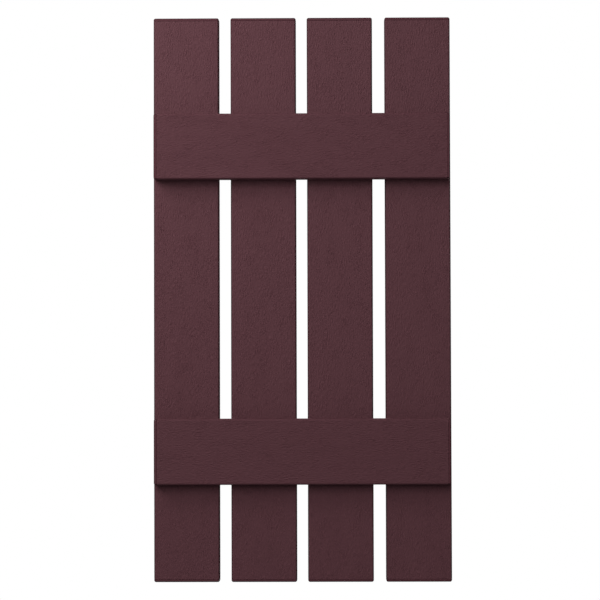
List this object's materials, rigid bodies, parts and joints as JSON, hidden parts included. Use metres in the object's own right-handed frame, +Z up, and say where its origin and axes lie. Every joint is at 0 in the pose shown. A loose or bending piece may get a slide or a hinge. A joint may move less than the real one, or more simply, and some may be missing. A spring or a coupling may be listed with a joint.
{
  "type": "board and batten shutter",
  "caption": "Open board and batten facade shutter: spaced upright planks joined by cross planks on their fronts, with capped ends and channelled backs.",
  "frame": {"origin": "on the wall plane that the boards' backs lie on, at half the width and half the height of the shutter", "axes": "+Z up along the boards, +X to the right of someone facing the shutter, +Y back into the wall, so the front looks along -Y"},
  "size_m": [0.381, 0.038, 0.724],
  "materials": {
    "board_plastic": "red-brown exterior plastic with an embossed wood grain that runs up the board",
    "batten_plastic": "red-brown exterior plastic with an embossed wood grain that runs along the batten",
    "cap_plastic": "red-brown moulded plastic, finely matt",
    "screw_steel": "bright zinc-plated steel"
  },
  "bodies": {
    "root": {"board_1": "board_plastic", "board_2": "board_plastic", "board_3": "board_plastic", "board_4": "board_plastic", "board_1_top_cap": "cap_plastic", "board_2_top_cap": "cap_plastic", "board_3_top_cap": "cap_plastic", "board_4_top_cap": "cap_plastic", "board_1_bottom_cap": "cap_plastic", "board_2_bottom_cap": "cap_plastic", "board_3_bottom_cap": "cap_plastic", "board_4_bottom_cap": "cap_plastic", "upper_batten": "batten_plastic", "lower_batten": "batten_plastic", "upper_batten_left_cap": "cap_plastic", "upper_batten_right_cap": "cap_plastic", "lower_batten_left_cap": "cap_plastic", "lower_batten_right_cap": "cap_plastic", "upper_batten_screws": "screw_steel", "lower_batten_screws": "screw_steel"}
  },
  "joints": []
}
